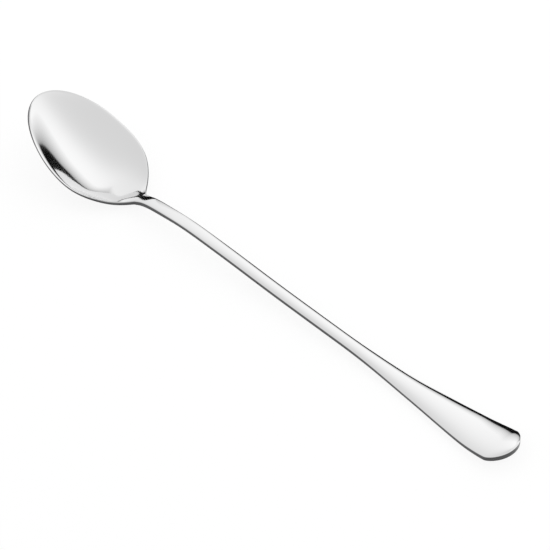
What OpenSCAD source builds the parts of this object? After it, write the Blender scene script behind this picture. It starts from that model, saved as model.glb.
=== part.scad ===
// Iced tea spoon: a long-handled spoon pressed from one strip of stainless steel.
// X runs along the spoon from the bowl's tip to the handle's end, Y across it, Z up.
// The origin lies on the table under the middle of the length. The spoon rests as it
// does on a table: on the bottom of its bowl and on a flat place under the handle.
// The metal is one piece. It is drawn as two solids that share one face at the neck.

/* [Overall] */
// Length from the tip of the bowl to the end of the handle
overall_l = 195.5; // [180:0.5:210]

/* [Bowl] */
// Length of the bowl from its tip to the heel, where the rim runs into the neck
bowl_l = 45; // [42:0.5:48]
// Width of the bowl at its widest
bowl_w = 30.6; // [27:0.1:34]
// Distance from the tip to the widest place
widest_x = 24.4; // [22:0.1:27]
// Distance from the tip to the lowest place, which touches the table
lowest_x = 32; // [30:0.5:34]
// Height of the rim at the tip
tip_h = 18.4; // [16:0.1:21]
// Height of the rim at the heel
heel_h = 2.9; // [2.6:0.1:3.6]
// Thickness of the metal at the bottom of the bowl
wall_t = 1.4; // [1.1:0.1:1.7]
// Width of the land round the rim
land_w = 0.75; // [0.6:0.05:1.2]
// Fall of the land from the outline to its inner edge
land_fall = 0.12; // [0:0.02:0.2]
// Height of the rim's outer edge
rim_edge_h = 0.6; // [0.5:0.05:0.75]

/* [Neck] */
// Length from the heel to the section where the handle starts
neck_l = 2; // [1.5:0.5:4]
// Thickness of the neck at its middle
neck_t = 2.4; // [2:0.1:3]
// Length of the rise from the heel to the shoulder
rise_l = 21; // [18:1:26]
// Height of the handle's edge at the shoulder
shoulder_h = 6.2; // [5:0.1:8]
// Rise of the crowned upper side above its edges at the shoulder
neck_crown_h = 0.17; // [0.1:0.01:0.3]
// Width that the fillet between bowl and handle adds to the outline
fillet_w = 0.45; // [0.2:0.05:0.7]
// Length along the outline over which that fillet fades
fillet_l = 1.6; // [1.2:0.1:2.4]

/* [Handle] */
// Width of the slender part
stem_w = 4.1; // [3.6:0.1:5]
// Height of the slender part's side face
stem_edge_h = 1.3; // [1.1:0.05:1.5]
// Height of the side face at the resting place
flare_edge_h = 1.1; // [1:0.05:1.4]
// Width of the handle near its end
end_w = 14; // [12:0.1:16]
// Length over which the handle widens
flare_l = 61.6; // [54:0.2:74]
// Length of the rounded end
cap_l = 4.8; // [4:0.1:7]
// Height of the end's face
end_edge_h = 1.9; // [1.5:0.1:2.1]
// Lift of the handle's end above its height at the resting place
end_lift = 2.7; // [1.5:0.1:4]
// Rise of the slender part's crowned upper side above its edges
crown_h = 0.36; // [0.3:0.02:0.5]
// Rise of the crown where the handle is widest
end_crown_h = 1; // [0.6:0.05:1.2]
// Depth of the underside below the side faces
belly_h = 0.5; // [0.3:0.05:0.6]
// Width of the softened edge
soft_w = 0.25; // [0.15:0.05:0.35]

/* [Resting place] */
// Distance from the handle's end to the middle of the flat place
rest_from_end = 32; // [28:1:38]
// Length of the flat place
rest_l = 10; // [6:1:12]

/* [Hidden] */

// Steps of the surface: across each side, and along each stretch of the length
across_n = 20;
front_n = 12;
side_n = 4;
rear_n = 12;
rise_n = 10;
stem_n = 8;
flare_n = 8;
rest_n = 2;
lift_n = 6;
cap_n = 8;
// Points on each softened edge, from the upper side down to the underside
edge_n = 2;
// Halvings that find a place on the flare's outline
flare_halvings = 24;

// Colour of the polished steel
steel = [0.80, 0.81, 0.82];

// Places along the length, measured from the tip. The rim is lowest at the heel.
heel_share = 0.95;
neck_x = bowl_l + neck_l;
heel_x = heel_share * bowl_l;
shoulder_x = bowl_l + rise_l;
cap_x = overall_l - cap_l;
flare_x = cap_x - flare_l;
rest_x = overall_l - rest_from_end;
rest_a = rest_x - rest_l / 2;
rest_b = rest_x + rest_l / 2;
rest_edge_h = flare_edge_h + belly_h;

// Share of the rear outline's fall that is square, the remainder being cubic
rear_square_share = 0.5;
// Handles of the flare's outline, as shares of its length
flare_shares = [0, 0.443, 0.803, 1];
// Steepness of the rounded end's outline, 2 being an ellipse and less having tighter corners
cap_power = 1.55;

// The rim from the tip to the heel: shares of the length and of the fall
rim_shares = [[0, 1], [0.24, 0.72], [0.48, 0.42], [0.80, 0.115], [heel_share, 0]];
// The edge from the heel to the shoulder: shares of the length and of the rise
rise_shares = [[0.14, 0.30], [0.226, 0.53], [0.312, 0.67], [0.53, 0.825], [1, 1]];
// The edge from the shoulder to the resting place: shares of the length and of the fall
fall_shares = [[0.15, 0.88], [0.41, 0.54], [0.78, 0.19], [1, 0]];
// The edge from the resting place to the end: shares of the length and of the lift
lift_shares = [[0.43, 0.08], [0.75, 0.45], [1, 1]];
// The middle of the bowl's floor from tip to lowest place: shares of that length and of the fall
floor_shares = [[0.1875, 0.718], [0.375, 0.457], [0.5625, 0.249], [0.75, 0.098], [0.875, 0.032],
                [1, 0]];
// Thickness of the floor: shares of the same length and of the metal at the bottom
floor_t_shares = [[0.12, 0.95], [0.375, 1.07], [1, 1]];
// The middle of the upper side through the neck: shares of the rise's length and height
neck_top_shares = [[0.02, 0.10], [0.105, 0.288], [0.17, 0.42], [0.31, 0.675], [0.55, 0.84], [1, 1]];
// Thickness through the neck: shares of the rise's length and of the neck's thickness
neck_t_shares = [[0.02, 0.8], [0.17, 0.98], [0.31, 1], [0.55, 0.95]];
// Place, height and thickness of the bowl's rear floor, as shares of the rise to the heel
// and of the bowl's thickness
bowl_end_share = 0.6;
bowl_end_rise_share = 0.46;
bowl_end_t_share = 1.1;

// Sections are curves of a square and a fourth power. The square's share in the bowl, over 1
// where the wall flattens towards the rim, goes by shares of the bowl's length.
bowl_square_shares = [[0, 1.5], [0.27, 1.27], [0.53, 1.12], [0.80, 0.57], [heel_share, 0.57]];
top_square_share = 0.75;
under_square_share = 0.4;
// Heights of the side face at the heel and at the handle's start, as shares of the slender part's
heel_edge_share = 0.95;
neck_edge_share = 1.2;
// Share of the end face's extra height that the side face has where the end's curve starts
cap_edge_share = 0.45;
// Place of the outline's fillet as a share of the bowl's length
fillet_share = 0.99;
// The crown along the flare: shares of its length and of the crown's growth
crown_shares = [[0.3, 0.3], [0.5, 0.62], [0.75, 0.92], [1, 1]];
// Place between shoulder and flare where the crown has its full rise
full_crown_share = 0.5;
// Power with which the crown and the belly fade round the handle's end
fade_power = 0.6;
// Most of a side face's height that one softened edge may take, and the share of its height
// that the upper one falls by before it meets the outline
soft_share = 0.35;
upper_soft_share = 0.5;
// Angle that spreads the points across, and power that gathers sections at the neck
spread_angle = 72;
closing_power = 1.3;

// Value of a smooth curve through the points [x, value] of a table
function fall_between(p, i) = (p[i + 1][1] - p[i][1]) / (p[i + 1][0] - p[i][0]);
function mean_slope(a, b) = a * b <= 0 ? 0 : 2 * a * b / (a + b);
function slope_at(p, i) =
    i == 0 ? fall_between(p, 0)
    : i == len(p) - 1 ? fall_between(p, i - 1)
    : mean_slope(fall_between(p, i - 1), fall_between(p, i));
function span_at(p, x, i = 0) = i >= len(p) - 2 || x < p[i + 1][0] ? i : span_at(p, x, i + 1);
function hermite(a, b, m, n, t) =
    a * (1 + 2 * t) * pow(1 - t, 2) + b * t * t * (3 - 2 * t)
    + m * t * pow(1 - t, 2) - n * t * t * (1 - t);
function curve(p, x) =
    let (i = span_at(p, x), run = p[i + 1][0] - p[i][0])
    hermite(p[i][1], p[i + 1][1], slope_at(p, i) * run, slope_at(p, i + 1) * run,
            min(1, max(0, (x - p[i][0]) / run)));
function bezier(p, t) =
    p[0] * pow(1 - t, 3) + 3 * p[1] * pow(1 - t, 2) * t
    + 3 * p[2] * (1 - t) * t * t + p[3] * pow(t, 3);

// Height of the upper edge along the whole spoon: rim, neck, handle and end
edge_line = concat(
    [for (s = rim_shares) [s[0] * bowl_l, heel_h + s[1] * (tip_h - heel_h)]],
    [for (s = rise_shares) [heel_x + s[0] * (shoulder_x - heel_x),
                            heel_h + s[1] * (shoulder_h - heel_h)]],
    [for (s = fall_shares) [shoulder_x + s[0] * (rest_a - shoulder_x),
                            rest_edge_h + s[1] * (shoulder_h - rest_edge_h)]],
    [[rest_b, rest_edge_h]],
    [for (s = lift_shares) [rest_b + s[0] * (overall_l - rest_b), rest_edge_h + s[1] * end_lift]]);
function edge_z(x) = curve(edge_line, x);

// Height of the side face, from a thin rim to the handle's end
side_line = [[0, rim_edge_h], [lowest_x, rim_edge_h], [heel_x, heel_edge_share * stem_edge_h],
             [neck_x, neck_edge_share * stem_edge_h], [shoulder_x, stem_edge_h],
             [flare_x, stem_edge_h], [rest_a, flare_edge_h], [rest_b, flare_edge_h],
             [cap_x, flare_edge_h + cap_edge_share * (end_edge_h - flare_edge_h)],
             [overall_l, end_edge_h]];
function side_h(x) = curve(side_line, x);
function soft_h(x) = min(soft_w, soft_share * side_h(x));

// Width of the flat land beside the outline, which is the rim's and fades into the handle
land_line = [[0, land_w], [lowest_x, land_w], [neck_x, soft_w], [overall_l, soft_w]];
function land_at(x) = curve(land_line, x);
function land_z(x) = edge_z(x) - land_fall * (land_at(x) - soft_w) / (land_w - soft_w);

// Height of the upper side's middle from the tip's land to the shoulder
bowl_end_x = lowest_x + bowl_end_share * (heel_x - lowest_x);
bowl_end_h = wall_t + bowl_end_rise_share * (heel_h - wall_t);
top_line = concat(
    [[land_w, edge_z(land_w)]],
    [for (s = floor_shares) [s[0] * lowest_x, wall_t + s[1] * (tip_h - wall_t)]],
    [[bowl_end_x, bowl_end_h]],
    [for (s = neck_top_shares) [heel_x + s[0] * (shoulder_x - heel_x),
                                heel_h + s[1] * (shoulder_h + neck_crown_h - heel_h)]]);
// Thickness of the middle from the tip to the shoulder
thick_line = concat(
    [[0, rim_edge_h]],
    [for (s = floor_t_shares) [s[0] * lowest_x, s[1] * wall_t]],
    [[bowl_end_x, bowl_end_t_share * wall_t]],
    [for (s = neck_t_shares) [heel_x + s[0] * (shoulder_x - heel_x), s[1] * neck_t]],
    [[shoulder_x, neck_crown_h + stem_edge_h + belly_h]]);
// Rise of the handle's crown behind the shoulder
crown_line = concat(
    [[shoulder_x, neck_crown_h],
     [shoulder_x + full_crown_share * (flare_x - shoulder_x), crown_h], [flare_x, crown_h]],
    [for (s = crown_shares) [flare_x + s[0] * flare_l, crown_h + s[1] * (end_crown_h - crown_h)]]);

// Heights of the middle of the upper side and of the underside
function top_z(x) = x < shoulder_x ? curve(top_line, x) : edge_z(x) + curve(crown_line, x);
function under_z(x) =
    x < shoulder_x ? curve(top_line, max(x, land_w)) - curve(thick_line, x)
    : edge_z(x) - side_h(x) - belly_h;

// Share of the square in the curves of the upper side and of the underside along the spoon
bowl_square_line = [for (s = bowl_square_shares) [s[0] * bowl_l, s[1]]];
top_square_line = concat(bowl_square_line, [[neck_x + neck_l, top_square_share],
                                            [overall_l, top_square_share]]);
under_square_line = concat(bowl_square_line, [[shoulder_x, under_square_share],
                                              [overall_l, under_square_share]]);
// Height of a section's curve at share s of its half width: 1 in the middle, 0 at the edge
function arch(s, square) = 1 - square * pow(s, 2) - (1 - square) * pow(s, 4);

// Half width of the outline between the bowl's widest place and the rounded end
function rear_w(x) =
    let (t = min(1, (x - widest_x) / (bowl_l - widest_x)), a = rear_square_share)
    sqrt(pow(bowl_w / 2, 2) - pow(stem_w / 2, 2)) * (1 - a * t * t - (1 - a) * pow(t, 3));
function flare_t(x, lo = 0, hi = 1, n = flare_halvings) =
    let (t = (lo + hi) / 2)
    n == 0 ? t
    : flare_x + flare_l * bezier(flare_shares, t) < x ? flare_t(x, t, hi, n - 1)
    : flare_t(x, lo, t, n - 1);
function fillet_at(x) = fillet_w * exp(-pow((x - fillet_share * bowl_l) / fillet_l, 2));
function half_w(x) =
    x <= bowl_l ? sqrt(pow(rear_w(x), 2) + pow(stem_w / 2, 2)) + fillet_at(x)
    : x <= flare_x ? stem_w / 2 + fillet_at(x)
    : stem_w / 2 + (end_w - stem_w) / 2 * bezier([0, 0, 1, 1], flare_t(x));

// Place [x, half width] on the outline set in by d, for a station of one of three kinds:
// round the tip by an angle, along the length by x, or round the end by an angle
TIP = 0;
RUN = 1;
END = 2;
function place(st, d) =
    st[0] == TIP ? [widest_x - (widest_x - d) * cos(st[1]), (bowl_w / 2 - d) * sin(st[1])]
    : st[0] == RUN ? [st[1], half_w(st[1]) - d]
    : [cap_x + (cap_l - d) * sin(st[1]), (end_w / 2 - d) * sqrt(1 - pow(sin(st[1]), cap_power))];
// How much of the crown and the belly is left at a station
function fullness(st) = st[0] == END ? pow(cos(st[1]), fade_power) : 1;

// Share of the half width at step j across, closer together near the edges
function across(j) = sin(spread_angle * (2 * j / across_n - 1)) / sin(spread_angle);

// Section at a station: upper side, softened edge, underside, softened edge
function section(st) =
    let (o = place(st, 0), soft = soft_h(o[0]), a = place(st, land_at(o[0])), u = place(st, soft),
         full = fullness(st), e = land_z(a[0]), top = curve(top_square_line, a[0]),
         rise = (top_z(a[0]) - edge_z(a[0])) * full, low = edge_z(u[0]) - side_h(u[0]),
         sag = (under_z(u[0]) - low) * full, under = curve(under_square_line, u[0]))
    concat(
        [for (j = [0 : across_n]) let (s = across(j)) [a[0], s * a[1], e + rise * arch(s, top)]],
        edge_points(o, soft, 1),
        [for (j = [0 : across_n]) let (s = -across(j))
            [u[0], s * u[1], low + sag * arch(s, under)]],
        [for (k = [edge_n - 1 : -1 : 0]) edge_points(o, soft, -1)[k]]);
function edge_points(o, soft, side) =
    let (high = edge_z(o[0]) - upper_soft_share * soft, low = edge_z(o[0]) - side_h(o[0]) + soft)
    [for (k = [0 : edge_n - 1]) [o[0], side * o[1], high + (low - high) * k / (edge_n - 1)]];

// Points round one section, and the points left where a section closes to a line
ring_n = 2 * (across_n + 1) + 2 * edge_n;
closed_n = edge_n + 2;
function closed_index(j) =
    j <= across_n ? 0
    : j <= across_n + edge_n ? j - across_n
    : j <= 2 * across_n + edge_n + 1 ? edge_n + 1
    : ring_n - j;
function closed_points(s) = [for (j = [0 : across_n + edge_n]) if (j == 0 || j > across_n) s[j],
                             s[across_n + edge_n + 1]];

// Solid through a row of sections; the first or the last one may close to a line
module loft(stations, close_first, close_last) {
    rings = [for (st = stations) section(st)];
    n = len(rings);
    start = close_first ? closed_n : ring_n;
    function index(i, j) =
        i == 0 ? (close_first ? closed_index(j % ring_n) : j % ring_n)
        : start + (i - 1) * ring_n + (close_last && i == n - 1 ? closed_index(j % ring_n) : j % ring_n);
    points = concat(
        close_first ? closed_points(rings[0]) : rings[0],
        [for (i = [1 : n - 2]) each rings[i]],
        close_last ? closed_points(rings[n - 1]) : rings[n - 1]);
    sides = [for (i = [0 : n - 2], j = [0 : ring_n - 1])
        let (a = index(i, j), b = index(i, j + 1), c = index(i + 1, j + 1), d = index(i + 1, j))
        each [if (a != b && b != c) [a, b, c], if (a != d && d != c) [a, c, d]]];
    first_face = close_first ? [] : [[for (j = [ring_n - 1 : -1 : 0]) index(0, j)]];
    last_face = close_last ? [] : [[for (j = [0 : ring_n - 1]) index(n - 1, j)]];
    translate([-overall_l / 2, 0, 0])
        polyhedron(points, concat(sides, first_face, last_face), convexity = 4);
}

// Stations from a to b, closer together near a for a power over 1
function stretch(a, b, n, power = 1) = [for (i = [1 : n]) [RUN, a + (b - a) * pow(i / n, power)]];
function stretch_to(a, b, n, power) = [for (i = [1 : n]) [RUN, b - (b - a) * pow(1 - i / n, power)]];

module bowl() {
    color(steel) loft(concat(
        [for (i = [0 : front_n]) [TIP, 90 * i / front_n]],
        stretch(widest_x, lowest_x, side_n),
        stretch_to(lowest_x, neck_x, rear_n, closing_power)), true, false);
}

module handle() {
    color(steel) loft(concat(
        [[RUN, neck_x]],
        stretch(neck_x, shoulder_x, rise_n, closing_power),
        stretch(shoulder_x, flare_x, stem_n),
        stretch(flare_x, rest_a, flare_n),
        stretch(rest_a, rest_b, rest_n),
        stretch(rest_b, cap_x, lift_n),
        [for (i = [1 : cap_n]) [END, 90 * i / cap_n]]), false, true);
}

bowl();
handle();
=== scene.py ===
import math

import bmesh
import bpy
import numpy as np
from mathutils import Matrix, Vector


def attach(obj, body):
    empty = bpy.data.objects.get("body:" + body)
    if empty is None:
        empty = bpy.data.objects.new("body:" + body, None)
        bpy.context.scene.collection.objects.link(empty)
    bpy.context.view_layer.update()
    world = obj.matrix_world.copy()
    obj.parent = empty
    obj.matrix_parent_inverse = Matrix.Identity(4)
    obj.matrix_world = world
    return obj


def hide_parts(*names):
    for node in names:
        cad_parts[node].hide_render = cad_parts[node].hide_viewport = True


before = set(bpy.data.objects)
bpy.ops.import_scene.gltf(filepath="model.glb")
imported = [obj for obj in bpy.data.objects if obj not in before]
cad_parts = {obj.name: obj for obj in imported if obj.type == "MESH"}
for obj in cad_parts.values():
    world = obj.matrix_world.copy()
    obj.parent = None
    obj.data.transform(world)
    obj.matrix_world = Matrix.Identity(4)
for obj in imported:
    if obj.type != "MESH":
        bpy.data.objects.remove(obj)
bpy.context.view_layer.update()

MM = 0.001

# Sizes and shares of the part, with the names that its source gives them. Here x starts at the
# bowl's tip, y across the spoon at its middle and z at the table.
overall_l = 195.5
bowl_l, bowl_w, widest_x, lowest_x = 45.0, 30.6, 24.4, 32.0
tip_h, heel_h, wall_t, land_w, rim_edge_h = 18.4, 2.9, 1.4, 0.75, 0.6
land_fall = 0.12
neck_l, neck_t, rise_l, shoulder_h = 2.0, 2.4, 21.0, 6.2
stem_w, stem_edge_h, end_w, flare_l, cap_l = 4.1, 1.3, 14.0, 61.6, 4.8
flare_edge_h, end_edge_h, end_lift = 1.1, 1.9, 2.7
neck_crown_h, crown_h, end_crown_h = 0.17, 0.36, 1.0
belly_h, soft_w = 0.5, 0.25
rest_from_end, rest_l = 32.0, 10.0
fillet_w, fillet_l, fillet_share = 0.45, 1.6, 0.99
cap_power, rear_square_share, flare_shares = 1.55, 0.5, (0, 0.443, 0.803, 1)
heel_share, heel_edge_share, neck_edge_share, cap_edge_share = 0.95, 0.95, 1.2, 0.45
bowl_end_share, bowl_end_rise_share, bowl_end_t_share = 0.6, 0.46, 1.1
top_square_share, under_square_share = 0.75, 0.4
full_crown_share, fade_power, soft_share = 0.5, 0.6, 0.35

# Sizes of the looks alone: how far from its corner an edge's rounding starts, and the width of
# the land round the handle's end
edge_w, end_land_w = 0.13, 0.15

neck_x = bowl_l + neck_l
heel_x = heel_share * bowl_l
shoulder_x = bowl_l + rise_l
cap_x = overall_l - cap_l
flare_x = cap_x - flare_l
rest_x = overall_l - rest_from_end
rest_a, rest_b = rest_x - rest_l / 2, rest_x + rest_l / 2
rest_edge_h = flare_edge_h + belly_h


def through(points, x):
    """Value at x of a curve through the points (x, value) that never overshoots them."""
    p = np.asarray(points, float)
    rise = np.diff(p[:, 1]) / np.diff(p[:, 0])
    slope = np.empty(len(p))
    slope[0], slope[-1] = rise[0], rise[-1]
    a, b = rise[:-1], rise[1:]
    same = a * b > 0
    slope[1:-1] = np.where(same, 2 * a * b / np.where(same, a + b, 1), 0)
    x = np.clip(x, p[0, 0], p[-1, 0])
    i = np.clip(np.searchsorted(p[:, 0], x, side="right") - 1, 0, len(p) - 2)
    run = p[i + 1, 0] - p[i, 0]
    t = (x - p[i, 0]) / run
    return (p[i, 1] * (1 + 2 * t) * (1 - t) ** 2 + p[i + 1, 1] * t * t * (3 - 2 * t)
            + slope[i] * run * t * (1 - t) ** 2 - slope[i + 1] * run * t * t * (1 - t))


# Step of the evened lines, and the widths over which they are evened
GRID = 0.05
TOP_EVEN, EDGE_EVEN, SLOW_EVEN = 0.8, 1.2, 1.5


def softened(value, start, width):
    """The line value(x) from start to the handle's end, with its curvature evened out over
    a few millimetres, so that it mirrors without a crease. Its end values stay."""
    pad = 4 * width
    x = np.arange(start - pad, overall_l + pad + GRID, GRID)
    y = np.where(x < start, 2 * value(start) - value(2 * start - x),
                 np.where(x > overall_l, 2 * value(overall_l) - value(2 * overall_l - x),
                          value(x)))
    k = np.exp(-0.5 * (np.arange(-pad, pad + GRID, GRID) / width) ** 2)
    y = np.convolve(y, k / k.sum(), mode="same")
    keep = (x > start - GRID) & (x < overall_l + GRID)
    return lambda q: np.interp(q, x[keep], y[keep])


# Lines along the spoon, as shares of a length and of a height or thickness. The rise from the
# heel starts a little higher than in the source, so that the neck mirrors evenly.
rim_shares = [(0, 1), (0.24, 0.72), (0.48, 0.42), (0.80, 0.115), (heel_share, 0)]
floor_shares = [(0.1875, 0.718), (0.375, 0.457), (0.5625, 0.249), (0.75, 0.098),
                (0.875, 0.032), (1, 0)]
floor_t_shares = [(0.12, 0.95), (0.375, 1.07), (1, 1)]
bowl_square_shares = [(0, 1.5), (0.27, 1.27), (0.53, 1.12), (0.80, 0.57), (heel_share, 0.57)]
rise_shares = [(0.14, 0.325), (0.226, 0.53), (0.312, 0.67), (0.53, 0.825), (1, 1)]
fall_shares = [(0.15, 0.88), (0.41, 0.54), (0.78, 0.19), (1, 0)]
lift_shares = [(0.43, 0.08), (0.75, 0.45), (1, 1)]
neck_top_shares = [(0.02, 0.10), (0.105, 0.288), (0.17, 0.42), (0.31, 0.675), (0.55, 0.84),
                   (1, 1)]
neck_t_shares = [(0.02, 0.8), (0.17, 0.98), (0.31, 1), (0.55, 0.95)]
crown_shares = [(0.3, 0.3), (0.5, 0.62), (0.75, 0.92), (1, 1)]


def spread(shares, x0, run, h0, rise):
    """Shares of a run and a rise as points (x, height)."""
    return [(x0 + s * run, h0 + v * rise) for s, v in shares]


# Heights of the edge line, of the middle of the upper side, of the metal at its middle and of
# the side face
edge_points = (spread(rim_shares, 0, bowl_l, heel_h, tip_h - heel_h)
               + spread(rise_shares, heel_x, shoulder_x - heel_x, heel_h, shoulder_h - heel_h)
               + spread(fall_shares, shoulder_x, rest_a - shoulder_x, rest_edge_h,
                        shoulder_h - rest_edge_h)
               + [(rest_b, rest_edge_h)]
               + spread(lift_shares, rest_b, overall_l - rest_b, rest_edge_h, end_lift))
bowl_end_x = lowest_x + bowl_end_share * (heel_x - lowest_x)
bowl_end_h = wall_t + bowl_end_rise_share * (heel_h - wall_t)
top_points = ([(land_w, float(through(edge_points, land_w)))]
              + spread(floor_shares, 0, lowest_x, wall_t, tip_h - wall_t)
              + [(bowl_end_x, bowl_end_h)]
              + spread(neck_top_shares, heel_x, shoulder_x - heel_x, heel_h,
                       shoulder_h + neck_crown_h - heel_h))
thick_points = ([(0, rim_edge_h)] + spread(floor_t_shares, 0, lowest_x, 0, wall_t)
                + [(bowl_end_x, bowl_end_t_share * wall_t)]
                + spread(neck_t_shares, heel_x, shoulder_x - heel_x, 0, neck_t)
                + [(shoulder_x, neck_crown_h + stem_edge_h + belly_h)])
side_points = [(0, rim_edge_h), (lowest_x, rim_edge_h),
               (heel_x, heel_edge_share * stem_edge_h),
               (neck_x, neck_edge_share * stem_edge_h), (shoulder_x, stem_edge_h),
               (flare_x, stem_edge_h), (rest_a, flare_edge_h), (rest_b, flare_edge_h),
               (cap_x, flare_edge_h + cap_edge_share * (end_edge_h - flare_edge_h)),
               (overall_l, end_edge_h)]
# Width of the land
land_points = [(0, land_w), (lowest_x, land_w), (neck_x, soft_w), (flare_x, soft_w),
               (cap_x, end_land_w), (overall_l, end_land_w)]
# How far the side face leans in, how far its upper corner lies below the edge line, and how
# far in from the land the inner side is rounded
lean_points = [(0, 0.52), (4, 0.5), (8, 0.39), (16, 0.12), (28, 0.14), (36, 0.43),
               (heel_x, 0.4), (neck_x, 0.0), (overall_l, 0.0)]
drop_points = [(0, 0.08), (heel_x, 0.08), (neck_x, 0.13), (flare_x, 0.13), (cap_x, 0.07),
               (overall_l, 0.07)]
crease_points = [(0, 0.7), (16, 0.75), (26, 1.2), (lowest_x, 1.2), (neck_x, 0.25),
                 (overall_l, 0.25)]


def edge_raw(x):
    """Height of the edge line before it is evened."""
    return through(edge_points, x)


def side_raw(x):
    """Height of the side face before it is evened."""
    return through(side_points, x)


full_crown_x = shoulder_x + full_crown_share * (flare_x - shoulder_x)
crown_points = ([(shoulder_x, neck_crown_h), (full_crown_x, crown_h), (flare_x, crown_h)]
                + spread(crown_shares, flare_x, flare_l, crown_h, end_crown_h - crown_h))


def top_raw(x):
    """Height of the middle of the upper side."""
    return np.where(x < shoulder_x, through(top_points, x),
                    edge_raw(x) + through(crown_points, x))


def under_raw(x):
    """Height of the middle of the underside."""
    return np.where(x < shoulder_x,
                    through(top_points, np.maximum(x, land_w)) - through(thick_points, x),
                    edge_raw(x) - side_raw(x) - belly_h)


edge_z = softened(edge_raw, 0, EDGE_EVEN)
side_h = softened(side_raw, 0, SLOW_EVEN)
land_at = softened(lambda x: through(land_points, x), 0, SLOW_EVEN)
lean_at = softened(lambda x: through(lean_points, x), 0, SLOW_EVEN)
drop_at = softened(lambda x: through(drop_points, x), 0, SLOW_EVEN)
crease_at = softened(lambda x: through(crease_points, x), 0, SLOW_EVEN)
# Rise of the upper side's middle above the edge line, and of the underside's middle above the
# foot of the side face, which is below 0 where the underside sags
top_rise = softened(lambda x: top_raw(x) - edge_raw(x), land_w, TOP_EVEN)
under_sag = softened(lambda x: under_raw(x) - edge_raw(x) + side_raw(x), soft_w, EDGE_EVEN)
# Share of the square in a section's curves, the remainder being of the fourth power
bowl_squares = spread(bowl_square_shares, 0, bowl_l, 0, 1)
top_squares = bowl_squares + [(neck_x + neck_l, top_square_share),
                              (overall_l, top_square_share)]
under_squares = bowl_squares + [(shoulder_x, under_square_share),
                                (overall_l, under_square_share)]
top_square = softened(lambda x: through(top_squares, x), 0, SLOW_EVEN)
under_square = softened(lambda x: through(under_squares, x), 0, SLOW_EVEN)


def bezier(p, t):
    """Value at t of the cubic curve with the four handles p."""
    return (p[0] * (1 - t) ** 3 + 3 * p[1] * (1 - t) ** 2 * t + 3 * p[2] * (1 - t) * t * t
            + p[3] * t ** 3)


# Points (x, half width) of the flare's outline, close enough to read between
FLARE_N = 4000
flare_t = np.linspace(0, 1, FLARE_N + 1)
flare_at = flare_x + flare_l * bezier(flare_shares, flare_t)
flare_w = stem_w / 2 + (end_w - stem_w) / 2 * bezier((0, 0, 1, 1), flare_t)


def half_w(x):
    """Half width of the outline behind the bowl's widest place."""
    t = np.clip((x - widest_x) / (bowl_l - widest_x), 0, 1)
    a = rear_square_share
    rear = math.sqrt((bowl_w / 2) ** 2 - (stem_w / 2) ** 2) * (1 - a * t * t - (1 - a) * t ** 3)
    fillet = fillet_w * np.exp(-((x - fillet_share * bowl_l) / fillet_l) ** 2)
    return np.where(x < flare_x, np.hypot(rear, stem_w / 2) + fillet,
                    np.interp(x, flare_at, flare_w))


# Kinds of section: round the tip and round the end by an angle, and between them by an x
TIP, RUN, END = 0, 1, 2


def place(kind, at, d):
    """Point (x, half width) on the outline set in by d, at an angle or at an x."""
    if kind == TIP:
        return widest_x - (widest_x - d) * math.cos(at), (bowl_w / 2 - d) * math.sin(at)
    if kind == RUN:
        return at, float(half_w(at)) - d
    return (cap_x + (cap_l - d) * math.sin(at),
            (end_w / 2 - d) * max(0.0, 1 - math.sin(at) ** cap_power) ** 0.5)


# Stands in for a length of nothing where one is divided by
TINY = 1e-9


def corner(a, b, c, reach, n):
    """Points that round the corner b of the path a, b, c, starting reach before it, or half
    way to a or c where these are near."""
    la, lc = np.linalg.norm(a - b), np.linalg.norm(c - b)
    p = b + (a - b) * (min(reach, 0.5 * la) / max(la, TINY))
    q = b + (c - b) * (min(reach, 0.5 * lc) / max(lc, TINY))
    t = np.linspace(0, 1, n)[:, None]
    return (1 - t) ** 2 * p + 2 * t * (1 - t) * b + t * t * q


# Steps of a half section over the upper side and the underside, and points on each rounding
UP_N, LOW_N, ROUND_N = 44, 30, 9
# Angle whose sine gathers the points of a curve towards its edge
SPREAD_ANGLE = math.radians(78)
# Share of the land over which its inner corner bends, share of the half width that the inner
# rounding may take, and what a leaning side face adds to its upper rounding
BEND_SHARE, CREASE_SHARE, LEAN_SHARE = 0.45, 0.25, 0.9
# Height of the side face's lower corner above its foot, as a share of the rounding
FOOT_SHARE = 0.6


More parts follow.
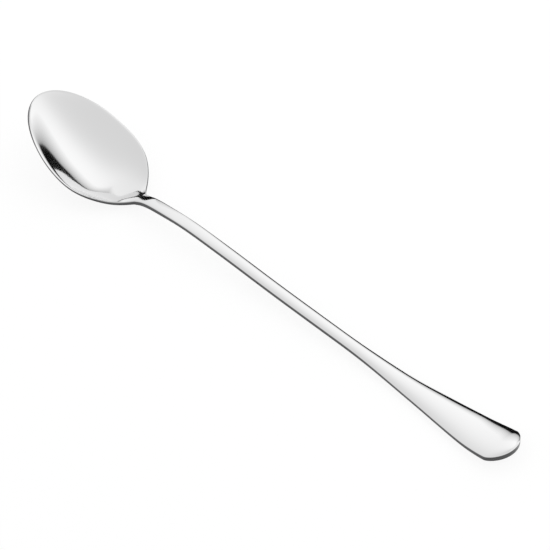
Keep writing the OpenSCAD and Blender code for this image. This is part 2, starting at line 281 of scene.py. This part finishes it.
def half_section(kind, at):
    """Half a section, from the middle of the upper side round the edge to the middle of the
    underside, as points (x, y, z)."""
    # x0 and w0 lie on the outline, xa and wa inside the land, xu and wu inside the lower edge
    x0, w0 = place(kind, at, 0)
    land, side, edge = float(land_at(x0)), float(side_h(x0)), float(edge_z(x0))
    soft = min(edge_w, soft_share * side)
    xa, wa = place(kind, at, land)
    xu, wu = place(kind, at, soft)
    full = math.cos(at) ** fade_power if kind == END else 1.0

    land_z = float(edge_z(xa)) - land_fall * max(0.0, (land - soft_w) / (land_w - soft_w))
    reach = min(float(crease_at(x0)), CREASE_SHARE * wa)
    rise, square = float(top_rise(xa)) * full, float(top_square(xa))
    s = np.sin(np.linspace(0, SPREAD_ANGLE, UP_N + 1)) / math.sin(SPREAD_ANGLE)
    s = s * (1 - reach / max(wa, TINY))
    up = np.stack([np.full_like(s, xa), s * wa,
                   land_z + rise * (1 - square * s ** 2 - (1 - square) * s ** 4)], 1)

    low = float(edge_z(xu)) - float(side_h(xu))
    sag, square = float(under_sag(xu)) * full, float(under_square(xu))
    s = np.sin(np.linspace(SPREAD_ANGLE, 0, LOW_N + 1)) / math.sin(SPREAD_ANGLE)
    down = np.stack([np.full_like(s, xu), s * wu,
                     low + sag * (1 - square * s ** 2 - (1 - square) * s ** 4)], 1)

    # Corners of the land and the side face, each of which is rounded
    rim_in = np.array([xa, wa, land_z])
    lean, bend = max(0.0, float(lean_at(x0))), BEND_SHARE * land
    rim_out = np.array([*place(kind, at, lean), edge - float(drop_at(x0))])
    land_in = rim_in + (rim_out - rim_in) * bend / max(np.linalg.norm(rim_out - rim_in), bend)
    foot, foot_in = np.array([x0, w0, edge - side + FOOT_SHARE * soft]), down[0]
    t = np.linspace(0, 1, ROUND_N)[:, None]
    return np.concatenate([
        up[:-1],
        (1 - t) ** 2 * up[-1] + 2 * t * (1 - t) * rim_in + t * t * land_in,
        corner(land_in, rim_out, foot, edge_w + LEAN_SHARE * lean, ROUND_N),
        corner(rim_out, foot, foot_in, edge_w, ROUND_N),
        corner(foot, foot_in, down[1], edge_w, ROUND_N),
        down[1:]])


# How much of each of a half section's points belongs to the side face, which is rougher than the
# rest and painted dark, a painted reflection of dark surroundings. It begins a little sooner on
# the upper rounding than on the lower one.
fade = np.linspace(0, 1, ROUND_N)
EARLY_FADE = 0.8
SIDE_SHARE = np.concatenate([np.zeros(UP_N + ROUND_N), fade ** EARLY_FADE, np.ones(ROUND_N),
                             1 - fade, np.zeros(LOW_N)])


# Steps of the sections round the tip and the end, with the power that gathers them there, and
# stretches of x between these, each with its steps: they are closest at the neck
TIP_N, END_N, GATHER = 110, 60, 1.15
STRETCHES = ((widest_x, 38, 45), (38, 52, 70), (52, 70, 45), (70, flare_x, 59),
             (flare_x, cap_x, 129))


def stations():
    """Kind and place of every section, from the tip to the end."""
    tip = [(TIP, math.pi / 2 * (i / TIP_N) ** GATHER) for i in range(TIP_N + 1)]
    run = [(RUN, float(x)) for start, stop, steps in STRETCHES
           for x in np.linspace(start, stop, steps + 1)[1:]]
    end = [(END, math.pi / 2 * (1 - (1 - i / END_N) ** GATHER)) for i in range(1, END_N + 1)]
    return tip + run + end


def strips(row_n, ring_n):
    """Faces of row_n closed strips between rings of ring_n points, one ring after another."""
    faces = []
    for i in range(row_n):
        a, b = i * ring_n, (i + 1) * ring_n
        for j in range(ring_n):
            k = (j + 1) % ring_n
            faces.append((a + j, a + k, b + k, b + j))
    return faces


def spoon_mesh(name):
    """The spoon's surface through all sections, each half with its mirror image."""
    halves = [half_section(*station) for station in stations()]
    points = np.concatenate([np.concatenate([h, h[1:-1][::-1] * (1, -1, 1)]) for h in halves])
    points[:, 0] -= overall_l / 2
    # Share of the side face at each point, which the material paints dark as a painted
    # reflection
    sides = np.tile(np.concatenate([SIDE_SHARE, SIDE_SHARE[1:-1][::-1]]), len(halves))
    mesh = bpy.data.meshes.new(name)
    mesh.from_pydata((points * MM).tolist(), [],
                     strips(len(halves) - 1, 2 * len(halves[0]) - 2))
    mesh.attributes.new("side", "FLOAT", "POINT").data.foreach_set("value", sides)
    return mesh


# Distances in metres within which points are joined and slivers go
JOIN, SLIVER = 2e-7, 1e-7


def tidy_mesh(mesh):
    """Joins the points that fall together at the tip and the end, and closes the surface."""
    bm = bmesh.new()
    bm.from_mesh(mesh)
    bmesh.ops.remove_doubles(bm, verts=bm.verts, dist=JOIN)
    bmesh.ops.dissolve_degenerate(bm, edges=bm.edges, dist=SLIVER)
    bmesh.ops.recalc_face_normals(bm, faces=bm.faces)
    for f in bm.faces:
        f.smooth = True
    bm.to_mesh(mesh)
    bm.free()


def linked(name, mesh):
    """A new object with this mesh, linked to the scene."""
    o = bpy.data.objects.new(name, mesh)
    bpy.context.scene.collection.objects.link(o)
    return o


spoon_data = spoon_mesh("spoon")
tidy_mesh(spoon_data)
spoon = linked("spoon", spoon_data)


def node(nt, kind, **values):
    """A shader node with settings and inputs: a number, a colour or another node's output.
    An input is named as it is, or as i0, i1 and so on by its place."""
    n = nt.nodes.new(kind)
    for name, value in values.items():
        if hasattr(n, name):
            setattr(n, name, value)
            continue
        by_place = name[0] == "i" and name[1:].isdigit()
        socket = n.inputs[int(name[1:]) if by_place else name.replace("_", " ")]
        if isinstance(value, bpy.types.NodeSocket):
            nt.links.new(value, socket)
        else:
            socket.default_value = value
    return n


def empty_material(name):
    """A material with nothing in its node tree, and that tree."""
    m = bpy.data.materials.new(name)
    m.use_nodes = True
    m.node_tree.nodes.clear()
    return m, m.node_tree


def steel():
    """Mirror-polished stainless steel with faint polishing lines. The side faces, cut and only
    tumbled, are rougher than the rest, and their colour is painted dark: a painted reflection
    of dark surroundings, far darker than steel."""
    # The side faces' dark colour is painted shade, a painted dark reflection; only their
    # roughness is real
    bright, painted_dark_side = (0.84, 0.84, 0.842, 1), (0.085, 0.085, 0.087, 1)
    smooth, rough, more_on_side = 0.055, 0.085, 0.2
    line_scale, line_share, line_strength, line_depth = (120, 5200, 5200), 0.5, 0.02, 0.00002
    haze_scale = 90.0
    m = bpy.data.materials.new("polished_steel")
    m.use_nodes = True
    nt = m.node_tree
    bsdf = nt.nodes["Principled BSDF"]
    bsdf.inputs["Metallic"].default_value = 1.0
    side = node(nt, "ShaderNodeAttribute", attribute_name="side")
    # Mixes the painted dark reflection into the side faces' colour
    colour = node(nt, "ShaderNodeMix", data_type="RGBA", i0=side.outputs["Fac"],
                  i6=bright, i7=painted_dark_side)
    nt.links.new(colour.outputs[2], bsdf.inputs["Base Color"])
    # Polishing lines run along the spoon: long, thin and hardly there
    place_in = nt.nodes.new("ShaderNodeTexCoord")
    drawn = node(nt, "ShaderNodeMapping", Vector=place_in.outputs["Object"], Scale=line_scale)
    lines = node(nt, "ShaderNodeTexNoise", Vector=drawn.outputs[0], Scale=1.0, Detail=3.0)
    haze = node(nt, "ShaderNodeTexNoise", Vector=place_in.outputs["Object"], Scale=haze_scale,
                Detail=2.0)
    both = node(nt, "ShaderNodeMath", operation="MULTIPLY_ADD", i0=lines.outputs[0],
                i1=line_share, i2=haze.outputs[0])
    plain_rough = node(nt, "ShaderNodeMapRange", Value=both.outputs[0], From_Min=0.5,
                       From_Max=1.0, To_Min=smooth, To_Max=rough)
    side_rough = node(nt, "ShaderNodeMath", operation="MULTIPLY_ADD", i0=side.outputs["Fac"],
                      i1=more_on_side, i2=plain_rough.outputs[0])
    nt.links.new(side_rough.outputs[0], bsdf.inputs["Roughness"])
    bump = node(nt, "ShaderNodeBump", Height=lines.outputs[0], Strength=line_strength,
                Distance=line_depth)
    nt.links.new(bump.outputs[0], bsdf.inputs["Normal"])
    return m


spoon.data.materials.append(steel())
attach(spoon, "root")
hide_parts("bowl", "handle")


def floor():
    """A white table top. What its grey lacks to white is added where the camera or a mirror sees
    it."""
    size, grey, lacking = 6.0, 0.24, 0.795
    mesh = bpy.data.meshes.new("floor")
    mesh.from_pydata([(-size, -size, 0), (size, -size, 0), (size, size, 0), (-size, size, 0)],
                     [], [(0, 1, 2, 3)])
    m, nt = empty_material("table")
    white = node(nt, "ShaderNodeBsdfDiffuse", Color=(grey, grey, grey, 1))
    path = nt.nodes.new("ShaderNodeLightPath")
    seen = node(nt, "ShaderNodeMath", operation="ADD", i0=path.outputs["Is Camera Ray"],
                i1=path.outputs["Is Glossy Ray"])
    seen = node(nt, "ShaderNodeMath", operation="ADD", i0=seen.outputs[0],
                i1=path.outputs["Is Transmission Ray"], use_clamp=True)
    lift = node(nt, "ShaderNodeMath", operation="MULTIPLY", i0=seen.outputs[0], i1=lacking)
    more = node(nt, "ShaderNodeEmission", Strength=lift.outputs[0])
    both = node(nt, "ShaderNodeAddShader", i0=white.outputs[0], i1=more.outputs[0])
    node(nt, "ShaderNodeOutputMaterial", Surface=both.outputs[0])
    mesh.materials.append(m)
    o = linked("floor", mesh)


floor()


def direction(azimuth, elevation):
    """Unit vector towards an azimuth and an elevation in radians."""
    return (math.cos(elevation) * math.cos(azimuth), math.cos(elevation) * math.sin(azimuth),
            math.sin(elevation))


def tent():
    """A round light tent with one broad soft glow, seen by mirrors and by the table only. The
    glow is given by its direction and width in degrees."""
    radius, ring_n, row_n = 0.6, 64, 24
    # Angle in radians by which the tent's lowest ring lies below the table
    tucked = 0.02
    glow_azimuth, glow_elevation, glow_width, glow_power = 101, 29, 51.6, 2.66
    glow_strength, plain_strength = 0.353, 0.78
    points = []
    for i in range(row_n + 1):
        el = math.pi / 2 * i / row_n - tucked
        for j in range(ring_n):
            points.append(tuple(radius * v for v in direction(2 * math.pi * j / ring_n, el)))
    mesh = bpy.data.meshes.new("tent")
    mesh.from_pydata(points, [], strips(row_n, ring_n))
    m, nt = empty_material("tent")
    glow_at = direction(math.radians(glow_azimuth), math.radians(glow_elevation))
    place_in = nt.nodes.new("ShaderNodeTexCoord")
    way = node(nt, "ShaderNodeVectorMath", operation="NORMALIZE", i0=place_in.outputs["Object"])
    dot = node(nt, "ShaderNodeVectorMath", operation="DOT_PRODUCT", i0=way.outputs[0],
               i1=glow_at)
    off = node(nt, "ShaderNodeMath", operation="ARCCOSINE", i0=dot.outputs["Value"])
    share = node(nt, "ShaderNodeMath", operation="DIVIDE", i0=off.outputs[0],
                 i1=math.radians(glow_width))
    power = node(nt, "ShaderNodeMath", operation="POWER", i0=share.outputs[0], i1=glow_power)
    less = node(nt, "ShaderNodeMath", operation="MULTIPLY", i0=power.outputs[0], i1=-1.0)
    glow = node(nt, "ShaderNodeMath", operation="EXPONENT", i0=less.outputs[0])
    total = node(nt, "ShaderNodeMath", operation="MULTIPLY_ADD", i0=glow.outputs[0],
                 i1=glow_strength, i2=plain_strength)
    light = node(nt, "ShaderNodeEmission", Strength=total.outputs[0])
    node(nt, "ShaderNodeOutputMaterial", Surface=light.outputs[0])
    m.cycles.emission_sampling = "NONE"
    mesh.materials.append(m)
    o = linked("tent", mesh)
    o.visible_camera = False


tent()


def room():
    """Plain white light outside the tent."""
    strength = 0.85
    world = bpy.data.worlds.new("room")
    world.use_nodes = True
    sky = world.node_tree.nodes["Background"]
    sky.inputs["Color"].default_value = (1, 1, 1, 1)
    sky.inputs["Strength"].default_value = strength
    bpy.context.scene.world = world


room()


def dark_card():
    """A black strip round the far side of the table, seen by mirrors only. It thins out over its
    upper part and towards its ends. Azimuths are in degrees."""
    away, right_end, left_end, ring_n = 0.45, 68, 168, 40
    black_top, soft, top = 0.129, 0.16, 0.3
    # How clear the strip is just over its black part, and the power with which that grows
    first_clear, clear_power = 0.2, 0.42
    black = (0.01, 0.01, 0.01, 1)
    points = []
    for i in range(ring_n + 1):
        az = math.radians(right_end + (left_end - right_end) * i / ring_n)
        points.extend((away * math.cos(az), away * math.sin(az), z) for z in (0, top))
    mesh = bpy.data.meshes.new("dark_card")
    mesh.from_pydata(points, [], [(2 * i, 2 * i + 2, 2 * i + 3, 2 * i + 1)
                                  for i in range(ring_n)])
    m, nt = empty_material("dark_card")
    at = nt.nodes.new("ShaderNodeTexCoord")
    sep = node(nt, "ShaderNodeSeparateXYZ", Vector=at.outputs["Object"])
    round_at = node(nt, "ShaderNodeMath", operation="ARCTAN2", i0=sep.outputs["Y"],
                    i1=sep.outputs["X"])
    above = node(nt, "ShaderNodeMath", operation="SUBTRACT", i0=sep.outputs["Z"], i1=black_top)
    up = node(nt, "ShaderNodeMapRange", Value=above.outputs[0], From_Max=soft)
    up = node(nt, "ShaderNodeMath", operation="POWER", i0=up.outputs[0], i1=clear_power)
    up = node(nt, "ShaderNodeMapRange", Value=up.outputs[0], To_Min=first_clear, To_Max=1.0)
    above = node(nt, "ShaderNodeMath", operation="GREATER_THAN", i0=above.outputs[0], i1=0.0)
    clear = node(nt, "ShaderNodeMath", operation="MULTIPLY", i0=up.outputs[0],
                 i1=above.outputs[0])
    # Between these azimuths it grows clear: on the left its upper part first and then the
    # whole, and on the right the whole
    fades = ((136, 147, above.outputs[0]), (158, left_end - 2, 1.0), (82, right_end + 5, 1.0))
    for start, stop, part in fades:
        ends = node(nt, "ShaderNodeMapRange", interpolation_type="SMOOTHSTEP",
                    Value=round_at.outputs[0], From_Min=math.radians(start),
                    From_Max=math.radians(stop))
        ends = node(nt, "ShaderNodeMath", operation="MULTIPLY", i0=ends.outputs[0], i1=part)
        clear = node(nt, "ShaderNodeMath", operation="MAXIMUM", i0=clear.outputs[0],
                     i1=ends.outputs[0])
    card = node(nt, "ShaderNodeBsdfDiffuse", Color=black)
    see = nt.nodes.new("ShaderNodeBsdfTransparent")
    mix = node(nt, "ShaderNodeMixShader", Fac=clear.outputs[0], i1=card.outputs[0],
               i2=see.outputs[0])
    node(nt, "ShaderNodeOutputMaterial", Surface=mix.outputs[0])
    mesh.materials.append(m)
    o = linked("dark_card", mesh)
    o.visible_camera = o.visible_diffuse = o.visible_shadow = False


dark_card()

# Camera, as solved from the photograph: a long lens, level, 43 degrees above the table, aimed
# at a place on it
FOCAL_PX, IMAGE_PX, SENSOR = 3000.0, 550, 36.0
camera_azimuth, camera_elevation, camera_away = -45.14, 42.94, 888.75
aim_x, aim_y = 95.38, 6.98
aim = Vector(((aim_x - overall_l / 2) * MM, aim_y * MM, 0))
towards = Vector(direction(math.radians(camera_azimuth), math.radians(camera_elevation)))
camera_data = bpy.data.cameras.new("camera")
camera_data.sensor_width = SENSOR
camera_data.lens = FOCAL_PX / IMAGE_PX * SENSOR
camera = bpy.data.objects.new("camera", camera_data)
camera.location = aim + towards * (camera_away * MM)
camera.rotation_euler = towards.to_track_quat("Z", "Y").to_euler()
bpy.context.scene.collection.objects.link(camera)
bpy.context.scene.camera = camera
bpy.context.scene.view_settings.view_transform = "Standard"
